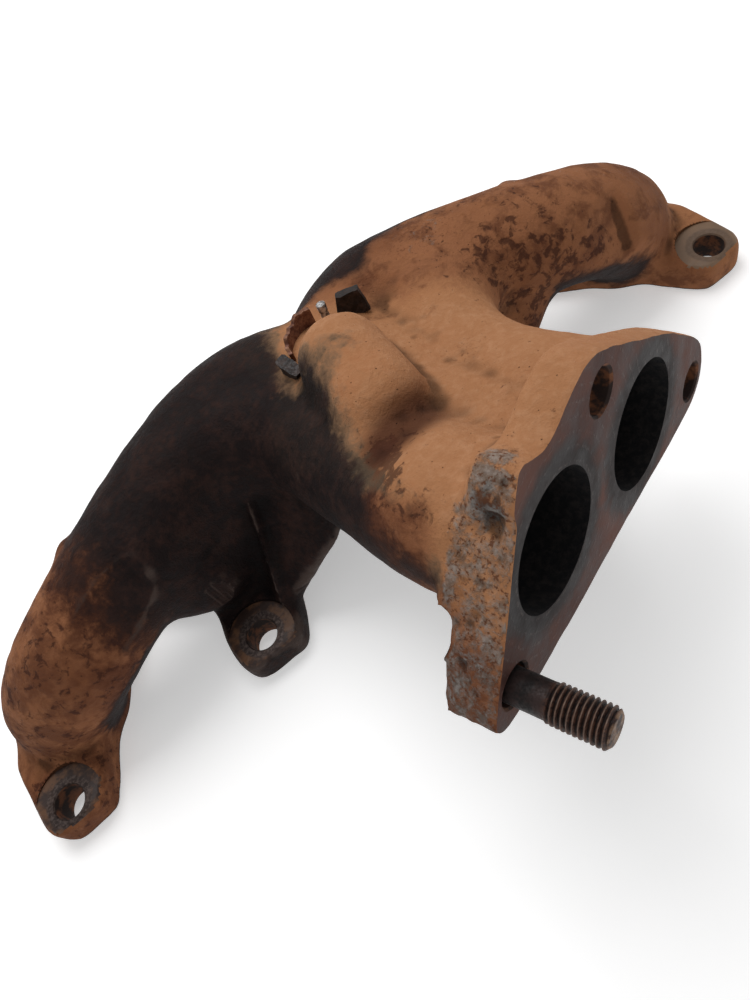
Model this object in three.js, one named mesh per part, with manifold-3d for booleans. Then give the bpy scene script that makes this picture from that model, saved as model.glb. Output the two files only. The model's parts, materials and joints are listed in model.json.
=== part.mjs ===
// Cast-iron exhaust manifold for a four-cylinder engine, four head ports into two outlet ports.
// Millimetres. Z = 0 is the plane of the head gasket faces and +Z points away from the head.
// X runs along the crankshaft, the origin is midway between the two end ears, and the outlet
// flange faces -Y. The bolt ears seen on the outlet side have their holes on the line Y = 0.
import * as THREE from "three";
import { mergeVertices } from "three/addons/utils/BufferGeometryUtils.js";
import { ConvexGeometry } from "three/addons/geometries/ConvexGeometry.js";
import Module from "manifold-3d";

const wasm = await Module();
wasm.setup();

// ---- driving dimensions
const endEarX = 150;          // end bolt ears, left and right of centre
const innerEarX = 68;         // inner bolt ears
const portX = [55, 137];      // head port centres, inner and outer
const portY = 35;
const upperHoles = [[0, 60], [98, 60]]; // upper bolts, one in the middle and one between two ports
const earThick = 12;
const boltHole = 11.1;        // M10 clearance
const spotFace = 24.2;
const spotDeep = 0.8;
const runnerOuter = 20;       // runner tube radius outside
const runnerInner = 15.2;     // gas passage radius in the runners
const flangeThick = 12;
const outletBore = 17.3;      // outlet port radius
const outletWall = 20.3;      // duct radius outside, where it meets the outlet flange
const studShank = 9;
const studThread = 9.9;
const studReach = 23.5;       // stud tip beyond the flange face

// ---- the outlet face: its middle lies between the two ports and it is turned and tipped
const turn = THREE.MathUtils.degToRad(21.1);
const tip = THREE.MathUtils.degToRad(7.9);
const faceMid = new THREE.Vector3(24.7, -67.6, 77.1);
const faceOut = new THREE.Vector3(
  Math.sin(turn) * Math.cos(tip), -Math.cos(turn) * Math.cos(tip), Math.sin(tip));
const faceAcross = new THREE.Vector3(1, 0, 0).addScaledVector(faceOut, -faceOut.x).normalize();
const faceUp = new THREE.Vector3().crossVectors(faceOut, faceAcross);
const outletPorts = [[-22.7, 7.2], [22.7, -7.2]];
const outletHoles = [[-51.6, -9.9], [7, 23.4], [54, -25.3]];

const onFace = (across, up, out = 0) => faceMid.clone()
  .addScaledVector(faceAcross, across).addScaledVector(faceUp, up).addScaledVector(faceOut, out);
const faceMatrix = (across, up, out) => new THREE.Matrix4()
  .makeBasis(faceAcross, faceUp, faceOut).setPosition(onFace(across, up, out));

// ---- helpers
function solid(geometry) {
  const g = geometry.clone();
  g.deleteAttribute("normal");
  g.deleteAttribute("uv");
  const m = mergeVertices(g, 1e-4);
  return new wasm.Manifold(new wasm.Mesh({
    numProp: 3,
    vertProperties: Float32Array.from(m.attributes.position.array),
    triVerts: Uint32Array.from(m.index.array),
  }));
}

function toGeometry(body) {
  const mesh = body.getMesh();
  const g = new THREE.BufferGeometry();
  g.setAttribute("position", new THREE.BufferAttribute(Float32Array.from(mesh.vertProperties), 3));
  g.setIndex(Array.from(mesh.triVerts));
  g.computeVertexNormals();
  return g;
}

// closed skin through a list of rings that all have the same number of points
function skin(rings) {
  const count = rings[0].length;
  const points = rings.flat();
  const faces = [];
  const cap = (ring, flip) => {
    const middle = ring.reduce((s, p) => s.add(p), new THREE.Vector3()).divideScalar(count);
    points.push(middle);
    const start = flip ? 0 : (rings.length - 1) * count;
    for (let i = 0; i < count; i++) {
      const j = (i + 1) % count;
      faces.push(...(flip ? [points.length - 1, start + j, start + i]
        : [points.length - 1, start + i, start + j]));
    }
  };
  for (let r = 0; r + 1 < rings.length; r++) {
    for (let i = 0; i < count; i++) {
      const j = (i + 1) % count;
      const a = r * count + i, b = r * count + j, c = a + count, d = b + count;
      faces.push(a, b, d, a, d, c);
    }
  }
  cap(rings[0], true);
  cap(rings[rings.length - 1], false);
  const g = new THREE.BufferGeometry().setFromPoints(points);
  g.setIndex(faces);
  return g;
}

// round tube along a smooth path; each stop is [x, y, z, radius]
function tube(stops, around = 22, along = 16) {
  const path = new THREE.CatmullRomCurve3(stops.map(([x, y, z]) => new THREE.Vector3(x, y, z)),
    false, "centripetal");
  const rings = [];
  let side = new THREE.Vector3(0.3, 1, 0.2);
  for (let i = 0; i <= along; i++) {
    const t = i / along;
    const centre = path.getPoint(t);
    const tangent = path.getTangent(t).normalize();
    side = side.clone().addScaledVector(tangent, -side.dot(tangent)).normalize();
    const up = new THREE.Vector3().crossVectors(tangent, side);
    const place = t * (stops.length - 1);
    const k = Math.min(Math.floor(place), stops.length - 2);
    const radius = THREE.MathUtils.lerp(stops[k][3], stops[k + 1][3], place - k);
    const ring = [];
    for (let j = 0; j < around; j++) {
      const angle = (2 * Math.PI * j) / around;
      ring.push(centre.clone().addScaledVector(side, radius * Math.cos(angle))
        .addScaledVector(up, radius * Math.sin(angle)));
    }
    rings.push(ring);
  }
  return solid(skin(rings));
}

function rod(radius, length, matrix, around = 28) {
  const g = new THREE.CylinderGeometry(radius, radius, length, around);
  g.rotateX(Math.PI / 2).translate(0, 0, length / 2).applyMatrix4(matrix);
  return solid(g);
}

const upright = (x, y, z) => new THREE.Matrix4().makeTranslation(x, y, z);

function disc(x, y, radius, low, high, around = 20) {
  const points = [];
  for (let i = 0; i < around; i++) {
    const angle = (2 * Math.PI * i) / around;
    const [px, py] = [x + radius * Math.cos(angle), y + radius * Math.sin(angle)];
    points.push(new THREE.Vector3(px, py, low), new THREE.Vector3(px, py, high));
  }
  return points;
}

const slab = (corners, low, high) => corners.flatMap(
  ([x, y]) => [new THREE.Vector3(x, y, low), new THREE.Vector3(x, y, high)]);

const wrapped = (points) => solid(new ConvexGeometry(points));

// a smooth lump between two points: ball, ball and the cone that wraps them
function lump(from, to, radiusFrom, radiusTo) {
  const points = [];
  for (const [centre, radius] of [[from, radiusFrom], [to, radiusTo]]) {
    const p = new THREE.SphereGeometry(radius, 16, 10).translate(...centre).attributes.position;
    for (let i = 0; i < p.count; i++) points.push(new THREE.Vector3().fromBufferAttribute(p, i));
  }
  return wrapped(points);
}

// polygon with rounded corners, each corner [x, y, cut]
function roundedShape(corners) {
  const outline = [];
  const count = corners.length;
  corners.forEach(([x, y, cut], i) => {
    const here = new THREE.Vector2(x, y);
    const before = new THREE.Vector2(...corners[(i + count - 1) % count].slice(0, 2));
    const after = new THREE.Vector2(...corners[(i + 1) % count].slice(0, 2));
    const toward = (other) => here.clone().lerp(other, Math.min(0.48, cut / here.distanceTo(other)));
    const enter = toward(before);
    const leave = toward(after);
    const bend = new THREE.QuadraticBezierCurve(enter, here, leave);
    outline.push(...bend.getPoints(5));
  });
  return new THREE.Shape(outline);
}

// ---- casting, outside
const add = (list) => list.reduce((all, one) => all.add(one));
const mirrored = (side, stops) => stops.map(([x, y, z, r]) => [side * x, y, z, r]);

function headFlange(side, centreX, ear, links) {
  const toSide = (points) => points.map((p) => p.setX(side * p.x));
  const round = () => disc(centreX, portY, 20, 0, earThick, 28);
  return add([
    wrapped(toSide([...slab(ear, 0, earThick), ...disc(centreX, portY, 17, 0, earThick)])),
    ...links.map(([x, y]) => wrapped(toSide([...round(), ...disc(x, y, 12, 0, earThick, 24)]))),
  ]);
}

const outerEar = [[162, 24], [162, -3], [158, -8.5], [141, -9], [136, -1]];
const innerEar = [[80.5, 5], [80.5, -5], [77, -9], [59, -10.5], [55, -6], [50, 8]];
const outerRunner = (r, end) => [
  [137, 33, end, r], [135.5, 31, 11, r], [129, 27.5, 23, r], [118, 25, 34, r], [103, 26, 42, r],
  [80, 31, 49, r], [54, 40.5, 52, r], [30, 45, 54, r]];
const innerRunner = (r, end) => [
  [55, 35, end, r], [55, 35, 15, r], [54, 36.5, 32, r], [50, 40, 50, r]];

// ducts from the runners to the outlet ports, and the two swells that close the middle
const ducts = [
  [[-80, 31, 49], [-54, 39, 52], [-30, 35, 54], [-14, 18, 57], [-9, -14, 67]],
  [[80, 31, 49], [58, 33, 51], [41, 20, 53], [34, -2, 55], [35, -20, 59]],
];
const swells = [
  [[-46, 43, 53, 20], [-24, 45, 54, 20], [-6, 36, 56, 20], [3, 14, 60, 20], [8, -16, 64, 18]],
  [[46, 43, 53, 20], [30, 44, 53, 20], [14, 34, 55, 20], [12, 12, 58, 20], [18, -16, 62, 18]],
];
function ductPath(which, r, rEnd, out) {
  const [across, up] = outletPorts[which];
  const start = ducts[which].map((p, i) => [...p, i ? r : r * 0.85]);
  const end = [-26, -12, out].map((depth) => [...onFace(across, up, depth), rEnd]);
  return [...start, ...end];
}

const flangeShape = roundedShape([
  [-65, -14, 5], [-24, 39, 3], [-17, 32.5, 3], [-6, 35.5, 3], [6, 37.5, 8], [45.5, 4, 10],
  [64.5, -19, 5], [62, -31.5, 5], [52, -35.2, 5], [-58, -19.3, 4]].reverse());
const flangePlate = solid(new THREE.ExtrudeGeometry(flangeShape,
  { depth: flangeThick, bevelEnabled: false, curveSegments: 6 })
  .applyMatrix4(faceMatrix(0, 0, -flangeThick)));

const outside = [flangePlate];
for (const side of [-1, 1]) {
  outside.push(
    headFlange(side, portX[1], outerEar, [upperHoles[1]]),
    headFlange(side, portX[0], innerEar, upperHoles),
    tube(mirrored(side, outerRunner(runnerOuter, -4))),
    tube(mirrored(side, innerRunner(runnerOuter, -4)), 22, 8));
}
outside.push(
  tube(ductPath(0, runnerOuter + 0.5, outletWall, -4)),
  tube(ductPath(1, runnerOuter, outletWall, -4)),
  ...swells.map((stops) => tube(stops, 20, 8)),
  // the left ear of the outlet flange is thicker than the rest
  wrapped([[-64.8, -14.2], [-28, 33], [-24, 20], [-44, -16], [-58, -19.3]].flatMap(
    ([across, up]) => [onFace(across, up, -15), onFace(across, up, -11)])),
  // web between the two ducts
  lump([8, 15, 58], [...onFace(0, 0, -20)], 19, 15),
  // gusset from the inner ear up to the collector, with a sharp edge toward the ear
  wrapped([[-56, 3, 11], [-50, 4, 4], [-42, 13, 8], [-25, -13, 45], [-14, 0, 56], [-40, 26, 50],
    [-46, 30, 20], [-56, 20, 8]].map((p) => new THREE.Vector3(...p))),
  wrapped([[56, 3, 11], [50, 4, 4], [42, 13, 8], [44, -6, 42], [34, 0, 52], [46, 26, 50],
    [46, 30, 20], [56, 20, 8]].map((p) => new THREE.Vector3(...p))),
  // blind boss on top of the collector, a short ridge with a domed end
  lump([3.8, 7, 83], [0.4, -15, 85.5], 13.6, 13.6));
for (const side of [-1, 1]) {
  // small round pad on the back of each runner, and the swell where the inner runner joins
  outside.push(lump([side * 94, 36, 51], [side * 94.5, 42.5, 56.5], 5, 4.6),
    lump([side * 69, 27, 28], [side * 84, 31, 42], 17, 18));
}

// ---- gas passages
const inside = [];
for (const side of [-1, 1]) {
  inside.push(tube(mirrored(side, outerRunner(runnerInner, -6)), 18, 13),
    tube(mirrored(side, innerRunner(runnerInner, -6)), 18, 7));
}
for (const which of [0, 1]) inside.push(tube(ductPath(which, runnerInner, outletBore, 6), 20, 12));

// ---- bolt and stud holes with their spot faces
const holes = [];
const headHoles = [[endEarX, 0], [innerEarX, 0], ...upperHoles];
for (const side of [-1, 1]) {
  for (const [x, y] of headHoles) {
    holes.push(rod(boltHole / 2, 40, upright(side * x, y, -10)),
      rod(spotFace / 2, 25, upright(side * x, y, earThick - spotDeep)));
  }
}
for (const [across, up] of outletHoles) {
  holes.push(rod(boltHole / 2, 40, faceMatrix(across, up, -30)));
}

// ---- remains of a sheet-metal strap behind the boss; grow > 0 gives the groove they sit in
const strapAt = [7.5, 21];
function strapBand(grow) {
  const shape = new THREE.Shape();
  const [from, to] = [0.48 * Math.PI - grow / 12, 0.88 * Math.PI + grow / 12];
  shape.absarc(...strapAt, 13.2 + grow, from, to, false);
  shape.absarc(...strapAt, 12.2 - grow, to, from, true);
  const g = new THREE.ExtrudeGeometry(shape,
    { depth: 7 + 2 * grow, bevelEnabled: false, curveSegments: 20 });
  return solid(g.translate(0, 0, 72 - grow));
}
function block(size, centre, turnZ, tipX, grow) {
  const g = new THREE.BoxGeometry(...size.map((d) => d + 2 * grow));
  g.rotateX(tipX).rotateZ(turnZ).translate(...centre);
  return solid(g);
}
const strapLug = (grow) => block([4.2, 8, 8], [-7.6, 21.5, 75.5], 0.15, 0.1, grow);
const strapTab = (grow) => block([8.5, 2.6, 8], [20.2, 28.8, 76], -0.55, -0.2, grow);
function strapRivet(grow) {
  const matrix = new THREE.Matrix4().makeRotationFromEuler(new THREE.Euler(-0.12, 0.05, 0))
    .setPosition(12.2, 31.6, 70);
  return rod(1.5 + grow, 11 + grow, matrix, 16);
}

// the spot facing can leave a loose chip, so the largest body is the casting
const strapSeat = add([strapBand(0.3), strapLug(0.3), strapTab(0.3), strapRivet(0.3)]);
const cut = add(outside).trimByPlane([0, 0, 1], 0).subtract(add(inside)).subtract(add(holes))
  .subtract(strapSeat).simplify(0.1);
const casting = cut.decompose().sort((a, b) => b.volume() - a.volume())[0];

// ---- outlet stud: plain shank in the hole, threaded end outside
const studAt = outletHoles[0];
const stud = rod(studShank / 2, 33, faceMatrix(...studAt, -flangeThick - 2))
  .add(rod(studThread / 2, studReach - 9, faceMatrix(...studAt, 9)));

// ---- named pieces
const group = new THREE.Group();
group.name = "exhaust_manifold";
function piece(name, body, colour, roughness, metalness) {
  const material = new THREE.MeshStandardMaterial({ color: colour, roughness, metalness });
  const mesh = new THREE.Mesh(toGeometry(body), material);
  mesh.name = name;
  group.add(mesh);
}
piece("casting", casting, 0x8a5a3c, 0.9, 0.2);
piece("outlet_stud", stud, 0x4a3a34, 0.6, 0.7);
piece("strap_band", strapBand(0), 0x7a4a34, 0.8, 0.4);
piece("strap_lug", strapLug(0), 0x2e2724, 0.7, 0.5);
piece("strap_tab", strapTab(0), 0x2e2724, 0.7, 0.5);
piece("strap_rivet", strapRivet(0), 0x8a8a88, 0.4, 0.8);

export default group;
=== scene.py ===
import json
import math
import bmesh
import bpy
import numpy as np
from mathutils import Matrix, Vector


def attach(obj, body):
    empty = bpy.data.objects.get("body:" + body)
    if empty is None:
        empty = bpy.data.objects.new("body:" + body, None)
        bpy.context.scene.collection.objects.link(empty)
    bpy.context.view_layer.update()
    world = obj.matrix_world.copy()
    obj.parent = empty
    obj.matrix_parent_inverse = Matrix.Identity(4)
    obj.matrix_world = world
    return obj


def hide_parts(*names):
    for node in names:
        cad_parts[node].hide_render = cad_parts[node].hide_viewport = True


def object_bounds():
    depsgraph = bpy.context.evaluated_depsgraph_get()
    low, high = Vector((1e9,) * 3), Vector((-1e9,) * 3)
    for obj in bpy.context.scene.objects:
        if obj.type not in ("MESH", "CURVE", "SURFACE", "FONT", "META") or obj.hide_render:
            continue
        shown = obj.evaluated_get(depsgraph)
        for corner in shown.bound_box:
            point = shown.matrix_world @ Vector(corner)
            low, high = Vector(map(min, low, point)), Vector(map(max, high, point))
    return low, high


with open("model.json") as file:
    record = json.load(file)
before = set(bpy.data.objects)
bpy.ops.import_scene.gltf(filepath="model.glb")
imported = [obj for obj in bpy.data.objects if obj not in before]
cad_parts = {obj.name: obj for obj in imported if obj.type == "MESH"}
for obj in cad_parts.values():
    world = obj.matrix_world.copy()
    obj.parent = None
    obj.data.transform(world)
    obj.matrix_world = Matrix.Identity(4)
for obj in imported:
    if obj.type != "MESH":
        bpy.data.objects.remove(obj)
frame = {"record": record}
cadLow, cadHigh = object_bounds()
record = frame["record"]
mm = 0.001

# Camera. Places here and below are in millimetres in the frame's own axes.
camera = {
    "place": (-40.87, -134.07, 241.56),
    "right": (0.751863, -0.601220, -0.270625),
    "up": (0.648169, 0.598841, 0.470390),
    "lens": 27.604,
}


def makeCamera(spec):
    data = bpy.data.cameras.new("camera")
    data.lens = spec["lens"]
    data.sensor_width = 36
    data.clip_start = 0.01
    data.clip_end = 20
    eye = bpy.data.objects.new("camera", data)
    bpy.context.scene.collection.objects.link(eye)
    right, up = Vector(spec["right"]), Vector(spec["up"])
    turn = Matrix((right, up, right.cross(up))).transposed().to_4x4()
    eye.matrix_world = Matrix.Translation(Vector(spec["place"]) * mm) @ turn
    bpy.context.scene.camera = eye


makeCamera(camera)
print("camera set")

# shared shape tools


def unit(v):
    v = np.asarray(v, float)
    return v / np.linalg.norm(v, axis=-1, keepdims=True)


def turnedOut(body):
    # all faces of a closed mesh made to point away from its inside
    b = bmesh.new()
    b.from_mesh(body.data)
    bmesh.ops.recalc_face_normals(b, faces=b.faces)
    b.to_mesh(body.data)
    b.free()
    return body


def addMesh(name, points, faces):
    mesh = bpy.data.meshes.new(name)
    mesh.from_pydata((np.asarray(points, float) * mm).tolist(), [], faces)
    body = bpy.data.objects.new(name, mesh)
    bpy.context.scene.collection.objects.link(body)
    return turnedOut(body)


def smoothPath(points, steps):
    # centripetal Catmull-Rom: each stretch is a cubic whose end slopes come from the neighbours,
    # weighted by the square root of the distances between the points
    p = np.asarray(points, float)
    p = np.vstack([2 * p[0] - p[1], p, 2 * p[-1] - p[-2]])
    gap = np.sqrt(np.linalg.norm(np.diff(p, axis=0), axis=1))[:, None]
    slope = np.diff(p, axis=0) / gap
    wide = (p[2:] - p[:-2]) / (gap[:-1] + gap[1:])
    start = (slope[:-2] - wide[:-1] + slope[1:-1]) * gap[1:-1]
    end = (slope[1:-1] - wide[1:] + slope[2:]) * gap[1:-1]
    t = np.linspace(0, len(points) - 1, steps)
    k = np.minimum(t.astype(int), len(points) - 2)
    s = (t - k)[:, None]
    a, b, c, d = p[1:-1][k], p[2:][k], start[k], end[k]
    return a + c * s + (3 * b - 3 * a - 2 * c - d) * s**2 + (2 * a - 2 * b + c + d) * s**3, t


def closedSkin(rings):
    # rings[i, j] is a grid of points, round in j; each end is closed by a fan to its middle
    n, m = rings.shape[:2]
    i, j = np.meshgrid(np.arange(n - 1), np.arange(m), indexing="ij")
    j2 = (j + 1) % m
    sides = np.stack([i * m + j, i * m + j2, (i + 1) * m + j2, (i + 1) * m + j], -1).reshape(-1, 4)
    ring = np.arange(m)
    nextOne = (ring + 1) % m
    low = np.stack([np.full(m, n * m), nextOne, ring], -1)
    high = np.stack([np.full(m, n * m + 1), (n - 1) * m + ring, (n - 1) * m + nextOne], -1)
    points = np.vstack([rings.reshape(-1, 3), rings[0].mean(0), rings[-1].mean(0)])
    return points, sides.tolist() + low.tolist() + high.tolist()


def tube(name, stops, level=(0, 1, 0), around=64, along=90):
    # round section carried along a smooth path; the radius runs evenly between the stops,
    # and level is a direction that the path never takes
    stops = np.asarray(stops, float)
    line, t = smoothPath(stops[:, :3], along)
    radius = np.interp(t, np.arange(len(stops)), stops[:, 3])[:, None, None]
    ahead = unit(np.gradient(line, axis=0))
    level = np.asarray(level, float)
    side = unit(level - ahead * (ahead @ level)[:, None])
    up = np.cross(ahead, side)
    angle = np.linspace(0, 2 * np.pi, around, endpoint=False)[None, :, None]
    rings = line[:, None] + radius * (np.cos(angle) * side[:, None] + np.sin(angle) * up[:, None])
    return addMesh(name, *closedSkin(rings))


def turnedRod(name, profile, base, axis, across, around=64):
    # a profile of (distance along, radius) pairs turned round an axis from its base
    profile = np.asarray(profile, float)
    axis, across = unit(axis), unit(across)
    side = np.cross(axis, across)
    angle = np.linspace(0, 2 * np.pi, around, endpoint=False)[None, :, None]
    middle = np.asarray(base, float) + profile[:, :1] * axis
    rings = middle[:, None] + profile[:, 1][:, None, None] * (
        np.cos(angle) * across + np.sin(angle) * side)
    return addMesh(name, *closedSkin(rings))


def hull(name, points):
    # the tightest convex solid round a set of points
    b = bmesh.new()
    for p in np.asarray(points, float) * mm:
        b.verts.new(p)
    made = bmesh.ops.convex_hull(b, input=b.verts)
    spare = [v for v in made["geom_interior"] + made["geom_unused"] if isinstance(v, bmesh.types.BMVert)]
    bmesh.ops.delete(b, geom=list(set(spare)), context="VERTS")
    mesh = bpy.data.meshes.new(name)
    b.to_mesh(mesh)
    b.free()
    body = bpy.data.objects.new(name, mesh)
    bpy.context.scene.collection.objects.link(body)
    return turnedOut(body)


def disc(x, y, radius, low, high, around=48):
    angle = np.linspace(0, 2 * np.pi, around, endpoint=False)
    flat = np.stack([x + radius * np.cos(angle), y + radius * np.sin(angle)], -1)
    return np.vstack([np.c_[flat, np.full(around, z)] for z in (low, high)])


def ball(centre, radius, rows=14, around=28):
    # latitude and longitude give each point of a sphere
    lat, lon = np.meshgrid(np.linspace(-np.pi / 2, np.pi / 2, rows),
                           np.linspace(0, 2 * np.pi, around, endpoint=False), indexing="ij")
    shape = np.stack([np.cos(lat) * np.cos(lon), np.cos(lat) * np.sin(lon), np.sin(lat)], -1)
    return shape.reshape(-1, 3) * radius + np.asarray(centre, float)


def roundedOutline(corners, steps=7):
    # each corner is replaced by a quadratic curve that leaves its two edges smoothly
    c = np.asarray(corners, float)
    here, cut = c[:, :2], c[:, 2:]
    before, after = np.roll(here, 1, 0), np.roll(here, -1, 0)

    def toward(other):
        reach = np.linalg.norm(other - here, axis=1, keepdims=True)
        return here + (other - here) * np.minimum(0.48, cut / reach)

    enter, leave = toward(before)[:, None], toward(after)[:, None]
    s = np.linspace(0, 1, steps)[None, :, None]
    return ((1 - s) ** 2 * enter + 2 * s * (1 - s) * here[:, None] + s**2 * leave).reshape(-1, 2)


def weld(name, bodies):
    # several bodies put into one mesh
    with bpy.context.temp_override(active_object=bodies[0], selected_editable_objects=bodies,
                                   selected_objects=bodies, object=bodies[0]):
        bpy.ops.object.join()
    bodies[0].name = bodies[0].data.name = name
    return bodies[0]


def applyModifier(body, kind, **settings):
    mod = body.modifiers.new(kind.lower(), kind)
    for key, value in settings.items():
        setattr(mod, key, value)
    graph = bpy.context.evaluated_depsgraph_get()
    done = bpy.data.meshes.new_from_object(body.evaluated_get(graph), depsgraph=graph)
    body.modifiers.remove(mod)
    old, body.data = body.data, done
    bpy.data.meshes.remove(old)
    return body


def cutAway(body, cutter):
    applyModifier(body, "BOOLEAN", object=cutter, operation="DIFFERENCE", solver="MANIFOLD")
    bpy.data.objects.remove(cutter)


def readPoints(mesh):
    p = np.empty(len(mesh.vertices) * 3)
    mesh.vertices.foreach_get("co", p)
    return p.reshape(-1, 3) / mm


def writePoints(mesh, p):
    mesh.vertices.foreach_set("co", (p * mm).ravel())
    mesh.update()


def readEdges(mesh):
    e = np.empty(len(mesh.edges) * 2, np.int32)
    mesh.edges.foreach_get("vertices", e)
    return e.reshape(-1, 2)


def neighbourMean(p, edges):
    # the mean of a value over each point's neighbours
    a, b = edges.T
    count = np.bincount(a, minlength=len(p)) + np.bincount(b, minlength=len(p))
    total = np.stack([np.bincount(a, p[b, k], len(p)) + np.bincount(b, p[a, k], len(p))
                      for k in range(p.shape[1])], -1)
    return total / np.maximum(count, 1)[:, None]


def pointNormals(mesh, p):
    # each face gives its area vector to its corners
    count = len(mesh.polygons)
    corner = np.empty(len(mesh.loops), np.int32)
    mesh.loops.foreach_get("vertex_index", corner)
    starts = np.empty(count, np.int32)
    sizes = np.empty(count, np.int32)
    mesh.polygons.foreach_get("loop_start", starts)
    mesh.polygons.foreach_get("loop_total", sizes)
    last = corner[starts + sizes - 1]
    area = np.cross(p[corner[starts + sizes // 2]] - p[corner[starts]], p[last] - p[corner[starts + 1]])
    face = np.repeat(np.arange(count), sizes)
    total = np.stack([np.bincount(corner, area[face, k], len(p)) for k in range(3)], -1)
    return unit(total + 1e-12)


def softNoise(p, size, seed):
    # values on the corners of a lattice of that size, blended smoothly between corners, from -1 to 1
    table = np.random.default_rng(seed).uniform(-1, 1, 4096)
    q = p / size
    cell = np.floor(q).astype(np.int64)
    s = q - cell
    s = s * s * (3 - 2 * s)
    total = 0.0
    for dx in (0, 1):
        for dy in (0, 1):
            for dz in (0, 1):
                c = cell + (dx, dy, dz)
                pick = (c[:, 0] * 73856093 ^ c[:, 1] * 19349663 ^ c[:, 2] * 83492791) & 4095
                weight = (np.where(dx, s[:, 0], 1 - s[:, 0]) * np.where(dy, s[:, 1], 1 - s[:, 1])
                          * np.where(dz, s[:, 2], 1 - s[:, 2]))
                total = total + table[pick] * weight
    return total


def ramp(value, low, high):
    s = np.clip((value - low) / (high - low), 0, 1)
    return s * s * (3 - 2 * s)


# the casting: the same outside and passages as the solid in the frame, with cast fillets
casting = {
    "endEarX": cadHigh.x / mm - 12,
    "innerEarX": 68,
    "portX": (55, 137),
    "portY": 35,
    "upperHoles": ((0, 60), (98, 60)),
    "earThick": 12,
    "boltHole": 5.55,
    "spotFace": 12.1,
    "spotDeep": 0.8,
    "runnerOuter": 20,
    "runnerInner": 15.2,
    "flangeThick": 12,
    "outletBore": 17.3,
    "outletWall": 20.3,
    "studAt": (-51.6, -9.9),
    "outletPorts": ((-22.7, 7.2), (22.7, -7.2)),
    "outletHoles": ((-51.6, -9.9), (7, 23.4), (54, -25.3)),
    "grain": 1.3,
    "filletRounds": 12,
    "lateRounds": 3,
}
outlet = next(m for m in record["mounts"] if m["name"] == "outlet_face")
faceOut = unit(outlet["axis"])
faceAcross = unit(np.array([1, 0, 0]) - faceOut * faceOut[0])
faceUp = np.cross(faceOut, faceAcross)
faceMid = np.array(outlet["pos_m"]) / mm + 8 * faceAcross + 19 * faceUp


def onFace(across, up, out=0):
    return faceMid + across * faceAcross + up * faceUp + out * faceOut


def mirrored(side, stops):
    return [(side * x, y, z, r) for x, y, z, r in stops]


def outerRunner(r, end):
    return [(137, 33, end, r), (135.5, 31, 11, r), (129, 27.5, 23, r), (118, 25, 34, r),
            (103, 26, 42, r), (80, 31, 49, r), (54, 40.5, 52, r), (30, 45, 54, r)]


def innerRunner(r, end):
    return [(55, 35, end, r), (55, 35, 15, r), (54, 36.5, 32, r), (50, 40, 50, r)]


def ductPath(which, r, rEnd, out):
    bends = [[(-80, 31, 49), (-54, 39, 52), (-30, 35, 54), (-14, 18, 57), (-9, -14, 67)],
             [(80, 31, 49), (58, 33, 51), (41, 20, 53), (34, -2, 55), (35, -20, 59)]][which]
    across, up = casting["outletPorts"][which]
    start = [(*p, r if i else r * 0.85) for i, p in enumerate(bends)]
    return start + [(*onFace(across, up, d), rEnd) for d in (-26, -12, out)]


def flangeSlab():
    outline = roundedOutline([
        (-65, -14, 5), (-24, 39, 3), (-17, 32.5, 3), (-6, 35.5, 3), (6, 37.5, 8), (45.5, 4, 10),
        (64.5, -19, 5), (62, -31.5, 5), (52, -35.2, 5), (-58, -19.3, 4)])
    rings = np.stack([[onFace(a, b, out) for a, b in outline]
                      for out in np.linspace(-casting["flangeThick"], 2.5, 6)])
    return addMesh("flange", *closedSkin(rings))


def headFlange(side, centreX, ear, links):
    c = casting
    low, high = -3, c["earThick"]
    corners = np.array([(side * x, y, z) for x, y in ear for z in (low, high)], float)
    parts = [hull("ear", np.vstack([corners, disc(side * centreX, c["portY"], 17, low, high)]))]
    for x, y in links:
        parts.append(hull("link", np.vstack([disc(side * centreX, c["portY"], 20, low, high),
                                             disc(side * x, y, 12, low, high)])))
    return parts


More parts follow.
